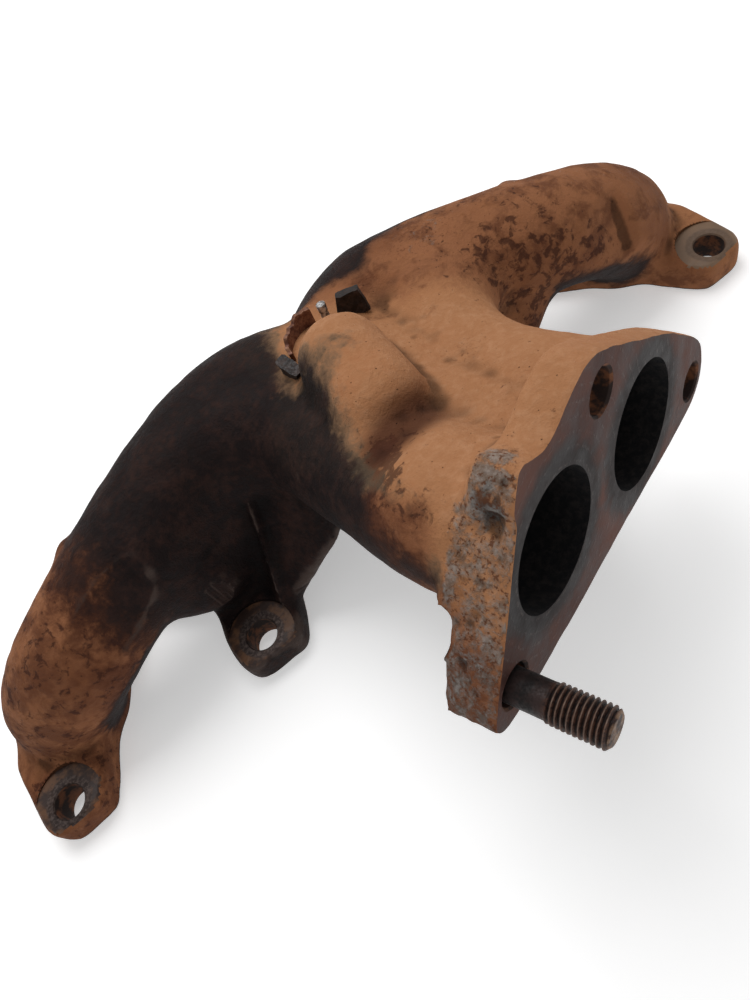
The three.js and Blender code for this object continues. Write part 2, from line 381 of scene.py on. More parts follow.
def castingBody():
    c = casting
    outerEar = [(162, 24), (162, -3), (158, -8.5), (141, -9), (136, -1)]
    innerEar = [(80.5, 5), (80.5, -5), (77, -9), (59, -10.5), (55, -6), (50, 8)]
    r = c["runnerOuter"]
    parts = [flangeSlab()]
    for side in (-1, 1):
        parts += headFlange(side, c["portX"][1], outerEar, c["upperHoles"][1:])
        parts += headFlange(side, c["portX"][0], innerEar, c["upperHoles"])
        parts += [tube("outer", mirrored(side, outerRunner(r, -4))),
                  tube("inner", mirrored(side, innerRunner(r, -4)), along=40),
                  runnerPad(side),
                  hull("join", np.vstack([ball((side * 69, 27, 28), 17), ball((side * 84, 31, 42), 18)]))]
    for which in (0, 1):
        parts.append(tube("duct", ductPath(which, r + 0.5 * (1 - which), c["outletWall"], -4), (0, 0, 1)))
    leftSwell = [(-46, 43, 53, 20), (-24, 45, 54, 20), (-6, 36, 56, 20), (3, 14, 60, 20), (8, -16, 64, 18)]
    rightSwell = [(46, 43, 53, 20), (30, 44, 53, 20), (14, 34, 55, 20), (12, 12, 58, 20), (18, -16, 62, 18)]
    for swell in (leftSwell, rightSwell):
        parts.append(tube("swell", swell, (0, 0, 1)))
    ear = [(-64.8, -14.2), (-28, 33), (-24, 20), (-44, -16), (-58, -19.3)]
    parts += [
        hull("ear", [onFace(a, b, out) for a, b in ear for out in (-15, -11)]),
        hull("web", np.vstack([ball((8, 15, 58), 19), ball(onFace(0, 0, -20), 15)])),
        hull("gusset", [(-56, 3, 11), (-50, 4, 4), (-42, 13, 8), (-25, -13, 45), (-14, 0, 56),
                        (-40, 26, 50), (-46, 30, 20), (-56, 20, 8)]),
        hull("gusset", [(56, 3, 11), (50, 4, 4), (42, 13, 8), (44, -6, 42), (34, 0, 52),
                        (46, 26, 50), (46, 30, 20), (56, 20, 8)]),
    ]
    return weld("manifold_casting", parts)


def runnerPad(side):
    # the small round pad on the back of an end runner, stretched between two balls
    return hull("pad", np.vstack([ball((side * 94, 36, 51), 5), ball((side * 94.5, 42.5, 56.5), 4.6)]))


def lateParts():
    # what stands crisply on the casting: the boss, its pads and ribs, a lug and burrs on the flange
    bossRound = 13.4
    bossEnds = ((3.8, 7, 83), (0.4, -15, 85.5))
    parts = [hull("boss", np.vstack([ball(end, bossRound, 20, 40) for end in bossEnds]))]
    ridge = np.array([(-36, 27, 54), (-37.5, 19.5, 64), (-56.5, 2, 12), (-52, 14, 11)], float)
    thick = np.array([1.5, 1.3, 0])
    parts.append(hull("rib", np.vstack([ridge - thick, ridge + thick])))
    for side in (-1, 1):
        parts.append(runnerPad(side))
    lug = [(-25.5, 40.3), (-33, 30.6), (-29, 28), (-22, 36)]
    parts.append(hull("lug", [onFace(a, b, out) for a, b in lug for out in (-11.6, 2)]))
    for across, up, out, r in ((-42, 13, -14, 3.2), (-45.5, 9.5, -15.8, 2.7), (-54.5, -2.5, -14, 2.2)):
        parts.append(hull("burr", ball(onFace(across, up, out), r)))
    return parts


def blob(p, centre, radius):
    return np.exp(-(((p - np.asarray(centre, float)) / radius) ** 2).sum(1))


def fillet(body, rounds):
    # points only move outwards toward their neighbours' mean, which fills the inner corners
    mesh = body.data
    p = readPoints(mesh)
    edges = readEdges(mesh)
    for step in range(6):
        p += 0.5 * (neighbourMean(p, edges) - p)
    for step in range(rounds):
        n = pointNormals(mesh, p)
        rise = np.einsum("ij,ij->i", neighbourMean(p, edges) - p, n)
        p += n * np.maximum(rise, 0)[:, None] * 0.9
    for step in range(4):
        p += 0.4 * (neighbourMean(p, edges) - p)
    writePoints(mesh, p)


def flatten(body):
    # clearance flats on the runners: points past a plane are brought down to it
    mesh = body.data
    p = readPoints(mesh)
    for point, way, low, high in (((-106.8, 16, 58.6), (-0.033, -0.816, 0.578), -118, -79),
                                  ((101.2, 11.3, 55.9), (0.272, -0.899, 0.347), 84, 117)):
        way = unit(way)
        past = np.maximum((p - np.array(point)) @ way, 0)
        x, y, z = p.T
        inside = ramp(x, low - 3, low + 3) * ramp(-x, -high - 3, -high + 3)
        inside = inside * ramp(-y, -29, -23) * ramp(y, -18, -8) * ramp(z, 31, 37)
        p -= (inside * past)[:, None] * way
    # the hollow between the boss and the outlet flange
    p[:, 2] -= 3.6 * blob(p, (-8, -33, 96), (13, 6.5, 9))
    writePoints(mesh, p)


def roughen(body):
    # sand-cast skin: broad waves, small lumps and shallow pits, laid along the normals
    mesh = body.data
    p = readPoints(mesh)
    n = pointNormals(mesh, p)
    wave = 0.30 * softNoise(p, 17, 3) + 0.18 * softNoise(p, 7, 4) + 0.11 * softNoise(p, 3.4, 5)
    pit = ramp(softNoise(p, 4.1, 6), 0.5, 0.85) * 0.12
    depth = (p - faceMid) @ faceOut
    edge = ramp(depth, -18, -14) * ramp(-depth, 0.5, 4) * ramp(-n @ faceAcross, 0.3, 0.6)
    scale = edge * (0.35 * softNoise(p, 5.5, 7) + 0.45 * softNoise(p, 2.7, 8) - 0.1)
    scale -= 1.1 * blob(p, onFace(-33.5, 28, -5.5), (3.5, 3.5, 3.2)) * edge
    writePoints(mesh, p + n * (wave - pit - 0.15 + scale)[:, None])


def boltPlaces():
    # where the head face's bolt holes stand on the right; each but the middle one has a twin on the left
    return (casting["endEarX"], 0), (casting["innerEarX"], 0), *casting["upperHoles"]


def cutCasting(body):
    c = casting
    size = 400
    # machined faces: the head side, and the outlet flange
    head = hull("cut", [(x, y, z) for x in (-size, size) for y in (-size, size) for z in (-size, 0)])
    cutAway(body, head)
    face = hull("cut", [onFace(a, b, o) for a in (-size, size) for b in (-size, size) for o in (0, size)])
    cutAway(body, face)
    print("faces cut")
    for side in (-1, 1):
        cutAway(body, tube("cut", mirrored(side, outerRunner(c["runnerInner"], -6)), around=48, along=60))
        cutAway(body, tube("cut", mirrored(side, innerRunner(c["runnerInner"], -6)), around=48, along=24))
    for which in (0, 1):
        cutAway(body, tube("cut", ductPath(which, c["runnerInner"], c["outletBore"], 6), (0, 0, 1), 64, 70))
    print("passages cut")
    up, across = (0, 0, 1), (1, 0, 0)
    hole, spot = c["boltHole"], c["spotFace"]
    for x, y in boltPlaces():
        for side in (-1, 1):
            seat = c["earThick"] - c["spotDeep"]
            if x or side > 0:
                profile = [(-4, hole), (seat - 0.5, hole), (seat, hole + 0.4),
                           (seat + 0.01, spot), (seat + 25, spot)]
                cutAway(body, turnedRod("cut", profile, (side * x, y, 0), up, across))
    for across2, up2 in c["outletHoles"]:
        profile = [(-30, hole), (-0.6, hole), (0.01, hole + 0.6), (3, hole + 0.6)]
        cutAway(body, turnedRod("cut", profile, onFace(across2, up2), faceOut, faceAcross))
    print("holes cut")


def keepLargest(body):
    b = bmesh.new()
    b.from_mesh(body.data)
    b.verts.ensure_lookup_table()
    seen, best = set(), []
    for v in b.verts:
        if v.index in seen:
            continue
        stack, island = [v], []
        seen.add(v.index)
        while stack:
            w = stack.pop()
            island.append(w)
            for e in w.link_edges:
                o = e.other_vert(w)
                if o.index not in seen:
                    seen.add(o.index)
                    stack.append(o)
        if len(island) > len(best):
            best = island
    kept = set(best)
    bmesh.ops.delete(b, geom=[v for v in b.verts if v not in kept], context="VERTS")
    b.to_mesh(body.data)
    b.free()


def makeCasting():
    body = castingBody()
    applyModifier(body, "REMESH", mode="VOXEL", voxel_size=casting["grain"] * mm)
    keepLargest(body)
    fillet(body, casting["filletRounds"])
    body = weld("manifold_casting", [body] + lateParts())
    applyModifier(body, "REMESH", mode="VOXEL", voxel_size=casting["grain"] * mm)
    keepLargest(body)
    fillet(body, casting["lateRounds"])
    flatten(body)
    roughen(body)
    print("casting skin", len(body.data.polygons))
    cutCasting(body)
    keepLargest(body)
    p = readPoints(body.data)
    low, high = np.array(cadLow) / mm, np.array(cadHigh) / mm
    writePoints(body.data, np.clip(p, low, high))
    body.data.polygons.foreach_set("use_smooth", np.ones(len(body.data.polygons), bool))
    body.data.set_sharp_from_angle(angle=math.radians(38))
    return body


# where the casting's colours lie, as point values
def addValue(mesh, name, value):
    layer = mesh.attributes.new(name, "FLOAT", "POINT")
    layer.data.foreach_set("value", np.clip(value, 0, 1).astype(np.float32))


def spreadColours(body):
    # soot on the left and back, painted shade on the faces that point down, pale dust on the collector, dark
    # rust spots, grey flakes on the flange edge, painted shade in the crease below the boss, and a dark lug
    # on the flange
    mesh = body.data
    p = readPoints(mesh)
    n = pointNormals(mesh, p)
    x, y, z = p.T
    rel = p - faceMid
    depth, along = rel @ faceOut, rel @ faceAcross
    warp = 7 * softNoise(p, 26, 11) + 4 * softNoise(p, 11, 12)
    flangeEdge = ramp(depth, -18, -14) * ramp(-n @ faceAcross, 0.35, 0.6)
    start = 6 + 0.22 * (25 - y)
    left = ramp(-x + warp - start, -16, 16) * (1 - ramp(-x + warp, 62, 122))
    back = ramp(y + warp, 36, 54) * ramp(x, -40, -10) * (1 - ramp(x + warp, 52, 86))
    # painted shade: faces that point down are blackened along with the soot
    under = ramp(-n[:, 2], -0.05, 0.6) * 0.85
    soot_and_underside_shade = np.maximum(np.maximum(left, back), under) * (1 - flangeEdge)
    soot_and_underside_shade = soot_and_underside_shade * (1 - ramp(depth, -14, -10) * (1 - under))
    dust = ramp(x + warp, -28, -12) * (1 - 0.62 * ramp(0.6 * x + y + warp, 26, 54))
    dust = np.maximum(dust, 0.55 * ramp(x, 126, 146))
    dust = np.maximum(dust, 0.25 * ramp(-x + warp, 84, 106) * ramp(n[:, 2], -0.2, 0.6))
    spot = 0.34 * blob(p, (72, 26, 66), (26, 20, 20)) + 0.44 * blob(p, (76, 8, 40), (20, 20, 26))
    spot += 0.30 * ramp(-x, 78, 100) + 0.10 + 0.30 * blob(p, (100, 6, 44), (16, 10, 12))
    spot += 0.5 * blob(p, (-16, -40, 92), (10, 20, 14))
    # the blob at (-10, -33, 94) is painted shade in the crease below the boss
    spot += 0.8 * blob(p, onFace(-31.5, 31, -6), (4, 4, 7)) + 0.6 * blob(p, (-10, -33, 94), (9, 6, 8))
    flake = 0.72 * flangeEdge + 1.2 * blob(p, onFace(-23, 38, -6), (5, 5, 4))
    flake += 0.55 * blob(p, (-21, -8, 80), (7, 30, 14)) + 0.5 * blob(p, (54, 38, 70), (24, 12, 12))
    flake += 0.45 * blob(p, (28, -14, 76), (12, 10, 8)) + 0.3 * blob(p, (3, -14, 88), (6, 5, 6))
    # painted shade in the crease below the boss and on its lower flank; the last blob is the dark strap lug
    # on the flange
    crease_shade_and_dark_lug = blob(p, (-7, -30, 94), (11, 7, 9)) + 0.75 * blob(p, (6, -28, 90), (9, 8, 8))
    crease_shade_and_dark_lug += 0.85 * blob(p, onFace(-32.5, 30, -6), (3.2, 4, 3.6))
    edges = readEdges(mesh)
    soft = p.copy()
    for step in range(5):
        soft += 0.6 * (neighbourMean(soft, edges) - soft)
    bend = np.einsum("ij,ij->i", p - soft, n)
    addValue(mesh, "soot_and_underside_shade", soot_and_underside_shade)
    addValue(mesh, "dust", dust)
    addValue(mesh, "spot", spot)
    addValue(mesh, "flake", flake)
    addValue(mesh, "crease_shade_and_dark_lug", crease_shade_and_dark_lug)
    # worn is high on edges and low in hollows; its low end drives painted shade in the creases
    addValue(mesh, "worn", 0.5 + bend * 1.6)


# shader maths: a value in an expression, whose operators add Math nodes
class Wire:
    def __init__(self, paint, socket):
        self.paint, self.socket = paint, socket

    def maths(self, kind, first, second):
        return self.paint.node("Math", {"operation": kind}, {0: first, 1: second})

    def __add__(self, other):
        return self.maths("ADD", self, other)

    def __radd__(self, other):
        return self.maths("ADD", other, self)

    def __sub__(self, other):
        return self.maths("SUBTRACT", self, other)

    def __rsub__(self, other):
        return self.maths("SUBTRACT", other, self)

    def __mul__(self, other):
        return self.maths("MULTIPLY", self, other)

    def __rmul__(self, other):
        return self.maths("MULTIPLY", other, self)


class Paint:
    def __init__(self, name):
        self.material = bpy.data.materials.new(name)
        self.material.use_nodes = True
        self.tree = self.material.node_tree
        self.shader = self.tree.nodes["Principled BSDF"]

    def join(self, value, socket):
        if isinstance(value, Wire):
            self.tree.links.new(value.socket, socket)
        else:
            if isinstance(value, (tuple, list)) and len(value) == 3 and socket.type == "RGBA":
                value = (*value, 1)
            socket.default_value = value

    def node(self, kind, settings=None, sockets=None, out=0):
        made = self.tree.nodes.new("ShaderNode" + kind)
        for key, value in (settings or {}).items():
            setattr(made, key, value)
        for key, value in (sockets or {}).items():
            self.join(value, made.inputs[key])
        return Wire(self, made.outputs[out])

    def place(self):
        return self.node("TexCoord", out="Object")

    def noise(self, scale, detail=4, rough=0.55, bend=0.0, at=None):
        return self.node("TexNoise", {}, {"Vector": at or self.place(), "Scale": scale, "Detail": detail,
                                          "Roughness": rough, "Distortion": bend})

    def value(self, name):
        return self.node("Attribute", {"attribute_name": name}, {}, out="Fac")

    def ramp(self, value, low, high, start=0.0, end=1.0):
        return self.node("MapRange", {"interpolation_type": "SMOOTHSTEP"},
                         {"Value": value, 1: low, 2: high, 3: start, 4: end})

    def mix(self, first, second, factor, blend="MIX"):
        return self.node("Mix", {"data_type": "RGBA", "blend_type": blend},
                         {0: factor, 6: first, 7: second}, out=2)

    def dot(self, point, direction):
        return self.node("VectorMath", {"operation": "DOT_PRODUCT"}, {0: point, 1: direction}, out="Value")

    def away(self, point, centre):
        return self.node("VectorMath", {"operation": "DISTANCE"}, {0: point, 1: centre}, out="Value")

    def bump(self, height, distance, strength=1.0):
        return self.node("Bump", {}, {"Height": height, "Distance": distance, "Strength": strength})

    def finish(self, colour, rough, metal=0.0, normal=None, specular=0.35):
        self.join(colour, self.shader.inputs["Base Color"])
        self.join(rough, self.shader.inputs["Roughness"])
        self.join(metal, self.shader.inputs["Metallic"])
        self.shader.inputs["Specular IOR Level"].default_value = specular
        if normal is not None:
            self.join(normal, self.shader.inputs["Normal"])
        return self.material


def rustyIron():
    # dusty tan rust over brown, with dark rust spots, grey flakes and soot, each with torn edges, and painted
    # shade on the undersides, in the crease below the boss and in the hollows
    tone = {
        "tan": (0.370, 0.168, 0.076), "sand": (0.480, 0.255, 0.138), "rust": (0.270, 0.110, 0.050),
        "brown": (0.115, 0.040, 0.019), "orange": (0.330, 0.120, 0.044), "dark": (0.042, 0.014, 0.009),
        "grey": (0.100, 0.098, 0.088), "pale": (0.250, 0.250, 0.240), "ash": (0.095, 0.078, 0.052),
        "umber": (0.060, 0.019, 0.010), "rim": (0.070, 0.048, 0.040),
        "soot_and_underside_shade": (0.0065, 0.0040, 0.0044), "sootBrown": (0.030, 0.014, 0.011),
    }
    q = Paint("rusty_cast_iron")
    big, mid, fine = q.noise(24, 3), q.noise(90, 5, 0.6, 0.4), q.noise(420, 4, 0.65)
    patch, grit, crisp = q.noise(210, 5, 0.65, 0.7), q.noise(1400, 3, 0.7), q.noise(900, 3, 0.6)
    soot_and_underside_shade, dust, spot = q.value("soot_and_underside_shade"), q.value("dust"), q.value("spot")
    flake, crease_shade_and_dark_lug, worn = q.value("flake"), q.value("crease_shade_and_dark_lug"), q.value("worn")
    torn = mid * 0.50 + patch * 0.40 + fine * 0.35 + big * 0.25 - 0.75
    colour = q.mix(tone["rust"], tone["tan"], q.ramp(dust + torn * 1.2, 0.25, 0.80))
    colour = q.mix(colour, tone["sand"], q.ramp(fine * 0.5 + patch * 0.4 + dust * 0.35, 0.72, 0.98) * 0.6)
    colour = q.mix(colour, tone["orange"], q.ramp(big * 0.7 + patch * 0.5, 0.58, 0.80) * 0.50)
    colour = q.mix(colour, tone["brown"], q.ramp(mid * 0.8 + patch * 0.4 - dust * 0.30, 0.42, 0.62) * 0.80)
    colour = q.mix(colour, q.mix(colour, tone["brown"], 0.6),
                   q.ramp(big, 0.46, 0.66) * q.ramp(dust, 0.85, 0.3))
    scatter = q.noise(300, 4, 0.6, 0.5)
    # dark rust spots, with painted shade where the spot value holds the crease below the boss
    spots = q.ramp(spot * 0.36 + scatter * 0.75 + mid * 0.30 + fine * 0.20, 0.80, 0.90)
    colour = q.mix(colour, tone["dark"], spots * 0.75)
    # umber: painted shade in the crease below the boss, and the dark strap lug
    colour = q.mix(colour, tone["umber"], q.ramp(crease_shade_and_dark_lug + torn * 0.35, 0.02, 0.95) * 0.88)
    scaly = q.noise(330, 5, 0.7, 0.3)
    greys = q.ramp(flake * 0.45 + scaly * 0.75 + mid * 0.25, 0.72, 0.92)
    scale = q.mix(tone["grey"], tone["pale"], q.ramp(fine * 0.6 + crisp * 0.5, 0.46, 0.68))
    colour = q.mix(colour, scale, greys * 0.72)
    colour = q.mix(colour, tone["brown"], q.ramp(flake, 0.2, 0.6) * q.ramp(crisp, 0.44, 0.36) * 0.8)
    colour = q.mix(colour, tone["ash"],
                   q.ramp(soot_and_underside_shade + torn * 1.1, 0.12, 0.42) * q.ramp(dust, 0.28, 0.60) * 0.65)
    colour = q.mix(colour, tone["umber"],
                   q.ramp(soot_and_underside_shade + torn * 1.1, 0.10, 0.50) * q.ramp(dust, 0.50, 0.28) * 0.75)
    # soot, and the painted shade on the faces that point down, go black here
    blackened = q.ramp(soot_and_underside_shade * 1.3 + torn * 1.2, 0.38, 0.82)
    sooty = q.mix(tone["soot_and_underside_shade"], tone["sootBrown"], q.ramp(mid * 0.6 + fine * 0.5, 0.45, 0.74))
    colour = q.mix(colour, sooty, blackened * 0.97)
    colour = q.mix(colour, tone["rim"], q.ramp(worn, 0.62, 0.85) * blackened * 0.8)
    cells = q.node("TexVoronoi", {"feature": "F1"}, {"Vector": q.place(), "Scale": 700, "Randomness": 1.0})
    pits = q.ramp(cells + q.noise(260, 3, 0.6) * 0.9, 0.38, 0.50)
    colour = q.mix(colour, q.mix(colour, (0, 0, 0), 0.5), 1 - pits)
    # painted shade: hollows and creases darkened toward black
    colour = q.mix(colour, (0, 0, 0), q.ramp(worn, 0.46, 0.20) * 0.60)
    height = mid * 0.40 + patch * 0.30 + fine * 0.35 + grit * 0.18 + pits * 0.25 - spots * 0.12 + greys * 0.18
    rough = q.ramp(fine, 0.3, 0.7, 0.80, 0.95) - blackened * 0.18
    return q.finish(colour, rough, 0.0, q.bump(height, 0.0014, 0.9), 0.12)


def outletMetal():
    # machined face: purple-brown scale, soot rings round the ports, fine scratches and arcs
    q = Paint("outlet_face")
    at = q.place()
    ports = [tuple(onFace(a, b) * mm) for a, b in casting["outletPorts"]]
    nearA, nearB = (q.away(at, c) * (1 / mm) for c in ports)
    near = q.node("Math", {"operation": "MINIMUM"}, {0: nearA, 1: nearB})
    mid, fine, big = q.noise(120, 5, 0.6), q.noise(700, 4, 0.65), q.noise(35, 3)
    colour = q.mix((0.044, 0.017, 0.013), (0.125, 0.052, 0.037), q.ramp(mid * 0.6 + big * 0.6, 0.45, 0.78))
    colour = q.mix(colour, (0.120, 0.045, 0.026), q.ramp(q.noise(55, 4, 0.6, 0.5), 0.55, 0.70) * 0.7)
    ringed = q.ramp(near + mid * 9, 30.5, 24.5)
    colour = q.mix(colour, (0.016, 0.014, 0.014), ringed * 0.92)
    arcs = q.node("TexWave", {"wave_type": "RINGS", "rings_direction": "SPHERICAL"},
                  {"Vector": q.node("Mapping", {}, {"Vector": at, "Location": tuple(-c for c in ports[0])}),
                   "Scale": 95, "Distortion": 1.2, "Detail": 3, "Detail Scale": 2.0}, out="Fac")
    scratch = q.ramp(arcs * 0.5 + fine * 0.7, 0.80, 1.0)
    colour = q.mix(colour, (0.140, 0.110, 0.100), scratch * 0.35)
    height = fine * 0.4 + mid * 0.3 + scratch * 0.3
    return q.finish(colour, q.ramp(mid, 0.3, 0.7, 0.55, 0.78), 0.15, q.bump(height, 0.0004, 0.7), 0.25)


def sootBlack():
    q = Paint("passage_soot")
    fine = q.noise(500, 4, 0.65)
    colour = q.mix((0.006, 0.006, 0.007), (0.022, 0.018, 0.017), q.ramp(fine, 0.4, 0.7))
    return q.finish(colour, 0.8, 0.0, q.bump(fine, 0.0005, 0.6), 0.25)


def seatMetal():
    # spot-faced seat: a grey rubbed ring under the nut, brown and tan outside it
    q = Paint("bolt_seat")
    x = q.node("SeparateXYZ", {}, {"Vector": q.place()}, out=0)
    flat = q.node("CombineXYZ", {}, {0: q.node("Math", {"operation": "ABSOLUTE"}, {0: x}),
                                     1: q.node("SeparateXYZ", {}, {"Vector": q.place()}, out=1)})
    ends = [(casting["endEarX"] * mm, 0, 0), (casting["innerEarX"] * mm, 0, 0)]
    endAt, innerAt = (q.away(flat, c) * (1 / mm) for c in ends)
    near = q.node("Math", {"operation": "MINIMUM"}, {0: endAt, 1: innerAt})
    mid, fine = q.noise(180, 4, 0.6), q.noise(900, 3, 0.6)
    outer = q.mix((0.030, 0.014, 0.010), (0.120, 0.055, 0.026), q.ramp(mid, 0.42, 0.62))
    outer = q.mix(outer, (0.200, 0.125, 0.075), q.ramp(x, 0.09, 0.12) * 0.8)
    ring = q.ramp(near + mid * 1.5, 9.6, 8.6) * (1 - q.ramp(x, 0.09, 0.12) * 0.6)
    rubbed = q.mix((0.030, 0.020, 0.018), (0.095, 0.070, 0.062), q.ramp(fine, 0.4, 0.65))
    colour = q.mix(outer, rubbed, ring * 0.9)
    return q.finish(colour, 0.5, ring * 0.5, q.bump(fine * 0.6 + mid * 0.4, 0.0003, 0.6), 0.4)


def boreRust():
    q = Paint("bolt_bore")
    mid = q.noise(220, 4, 0.6)
    colour = q.mix((0.028, 0.016, 0.013), (0.200, 0.075, 0.032), q.ramp(mid, 0.45, 0.65))
    return q.finish(colour, 0.8, 0.1, q.bump(mid, 0.0004, 0.6), 0.3)


def headMetal():
    # gasket faces: grey machined iron with brown bloom
    q = Paint("gasket_face")
    mid, fine = q.noise(90, 4, 0.6), q.noise(700, 3, 0.6)
    colour = q.mix((0.120, 0.105, 0.098), (0.150, 0.075, 0.045), q.ramp(mid, 0.45, 0.62))
    return q.finish(colour, q.ramp(fine, 0.3, 0.7, 0.45, 0.65), 0.4, q.bump(fine, 0.0002, 0.5), 0.4)


def faceValues(mesh):
    count = len(mesh.polygons)
    centre, normal = np.empty(count * 3), np.empty(count * 3)
    mesh.polygons.foreach_get("center", centre)
    mesh.polygons.foreach_get("normal", normal)
    return centre.reshape(-1, 3) / mm, normal.reshape(-1, 3)


def splitFinishes(body):
    # machined faces, bores and passages are told apart by where their faces lie
    mesh = body.data
    mesh.materials.clear()
    for make in (rustyIron, outletMetal, sootBlack, seatMetal, boreRust, headMetal):
        mesh.materials.append(make())
    c = casting
    at, n = faceValues(mesh)
    rel = at - faceMid
    depth, across, up = rel @ faceOut, rel @ faceAcross, rel @ faceUp
    pick = np.zeros(len(at), np.int32)
    pick[(np.abs(depth) < 0.03) & (n @ faceOut > 0.99)] = 1
    pick[(at[:, 2] < 0.03) & (n[:, 2] < -0.99)] = 5
    seatZ = c["earThick"] - c["spotDeep"]
    pick[(np.abs(at[:, 2] - seatZ) < 0.6) & (n[:, 2] > 0.5)
         & (np.min([np.hypot(at[:, 0] - s * x, at[:, 1] - y) for s in (-1, 1) for x, y in boltPlaces()], 0)
            < c["spotFace"] + 0.1)] = 3
    for s in (-1, 1):
        for x, y in boltPlaces():
            reach = np.hypot(at[:, 0] - s * x, at[:, 1] - y)
            pick[(reach < c["boltHole"] + 0.05) & (at[:, 2] < seatZ + 0.1) & (np.abs(n[:, 2]) < 0.5)] = 4
    for a, b in c["outletHoles"]:
        reach = np.hypot(across - a, up - b)
        pick[(reach < c["boltHole"] + 0.7) & (depth > -30) & (np.abs(n @ faceOut) < 0.9)] = 4
    lines = [(ductPath(k, 1, 1, 6), c["runnerInner"]) for k in (0, 1)]
    lines += [(mirrored(s, outerRunner(1, -6)), c["runnerInner"]) for s in (-1, 1)]
    lines += [(mirrored(s, innerRunner(1, -6)), c["runnerInner"]) for s in (-1, 1)]
    closest = np.full(len(at), 1e9)
    inward = np.zeros(len(at), bool)
    for stops, r in lines:
        line, t = smoothPath(np.asarray(stops, float)[:, :3], 70)
        for point in line:
            reach = np.linalg.norm(at - point, axis=1)
            nearer = reach < closest
            closest = np.where(nearer, reach, closest)
            inward = np.where(nearer, np.einsum("ij,ij->i", n, at - point) < 0, inward)
    pick[(closest < c["outletBore"] + 1) & (pick == 0) & inward] = 2
    mesh.polygons.foreach_set("material_index", pick)


body = makeCasting()
spreadColours(body)
splitFinishes(body)
print("casting", len(body.data.polygons))
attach(body, "root")
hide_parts("casting")


# the stud: plain shank, then a rolled thread with a chamfered end
stud = {"shank": 4.45, "crest": 4.93, "root": 4.08, "pitch": 1.32, "threadFrom": 8.5, "reach": 23.5,
        "deep": 14, "around": 72, "rows": 330}


def makeStud():
    # the radius is a rounded zigzag of the distance along less the turn, which winds into a helix
    d = stud
    t = np.linspace(-d["deep"], d["reach"], d["rows"])[:, None]
    angle = np.linspace(0, 2 * np.pi, d["around"], endpoint=False)[None, :]
    turns = (t / d["pitch"] - angle / (2 * np.pi)) % 1.0
    tooth = np.clip(1.35 * (1 - np.abs(2 * turns - 1)) - 0.12, 0, 1)
    fade = ramp(t, d["threadFrom"], d["threadFrom"] + 1.2)
    radius = d["shank"] + fade * (d["root"] + (d["crest"] - d["root"]) * tooth - d["shank"])
    radius = np.minimum(radius, d["root"] - 0.25 + (d["reach"] - t) * 1.1)
    base = onFace(*casting["studAt"])
    points = np.stack(np.broadcast_arrays(radius * np.cos(angle), radius * np.sin(angle)), -1)
    worn = 0.06 * softNoise(np.c_[points.reshape(-1, 2), np.repeat(t, d["around"])], 1.7, 21)
    rings = base + t[..., None] * faceOut + (points[..., :1] * faceAcross + points[..., 1:] * faceUp)
    out = unit(points[..., :1] * faceAcross + points[..., 1:] * faceUp)
    rings = rings + out * worn.reshape(radius.shape)[..., None]
    piece = addMesh("stud_m10", *closedSkin(rings))
    finishPiece(piece, studSteel(), "outlet_stud", 35)


def studSteel():
    # dark scaled shank, rusty thread flanks with rubbed crests, painted shade in the thread roots, tan rust
    # on the end
    q = Paint("stud_steel")
    at = q.place()
    centre = onFace(*casting["studAt"]) * mm
    along = (q.dot(at, tuple(faceOut)) - float(centre @ faceOut)) * (1 / mm)
    off = q.node("VectorMath", {"operation": "SCALE"}, {0: tuple(faceOut), "Scale": along * mm}, out=0)
    foot = q.node("VectorMath", {"operation": "ADD"}, {0: off, 1: tuple(centre)}, out=0)
    reach = q.away(at, foot) * (1 / mm)
    mid, fine = q.noise(300, 4, 0.6), q.noise(1500, 3, 0.6)
    threads = q.ramp(along, 7.5, 10)
    rusty = q.mix((0.026, 0.012, 0.010), (0.105, 0.045, 0.027), q.ramp(mid * 0.5 + fine * 0.5, 0.40, 0.60))
    dark = q.mix((0.010, 0.007, 0.007), (0.032, 0.017, 0.015), q.ramp(mid, 0.40, 0.65))
    colour = q.mix(dark, rusty, threads)
    # painted shade in the thread roots
    thread_root_shade = q.ramp(reach, 4.60, 4.20) * threads * q.ramp(along, 23.3, 22.6)
    colour = q.mix(colour, (0.012, 0.009, 0.009), thread_root_shade * 0.85)
    crest = q.ramp(reach + fine * 0.3, 4.92, 5.08)
    colour = q.mix(colour, (0.180, 0.115, 0.085), crest * threads * 0.7)
    colour = q.mix(colour, (0.230, 0.140, 0.085), q.ramp(along, 22.9, 23.3) * q.ramp(mid, 0.35, 0.55))
    rough = q.ramp(fine, 0.3, 0.7, 0.45, 0.75)
    return q.finish(colour, rough, 0.35, q.bump(mid * 0.5 + fine * 0.5, 0.0002, 0.7), 0.4)


# remains of the strap
strap = {"centre": (7.5, 21), "from": 0.46, "to": 0.92, "low": 70.5, "high": 82, "wall": 1.2}


def finishPiece(piece, material, node, crease):
    piece.data.materials.append(material)
    piece.data.polygons.foreach_set("use_smooth", np.ones(len(piece.data.polygons), bool))
    piece.data.set_sharp_from_angle(angle=math.radians(crease))
    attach(piece, "root")
    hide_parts(node)


def ribbon(line, tall, wide):
    # a rectangle of the given height and thickness carried along a line, its sides leaning with the line
    line, tall, wide = (np.asarray(v, float) for v in (line, tall, wide))
    rings = np.stack([line + tall + wide, line - tall + wide, line - tall - wide, line + tall - wide], 1)
    return closedSkin(rings)


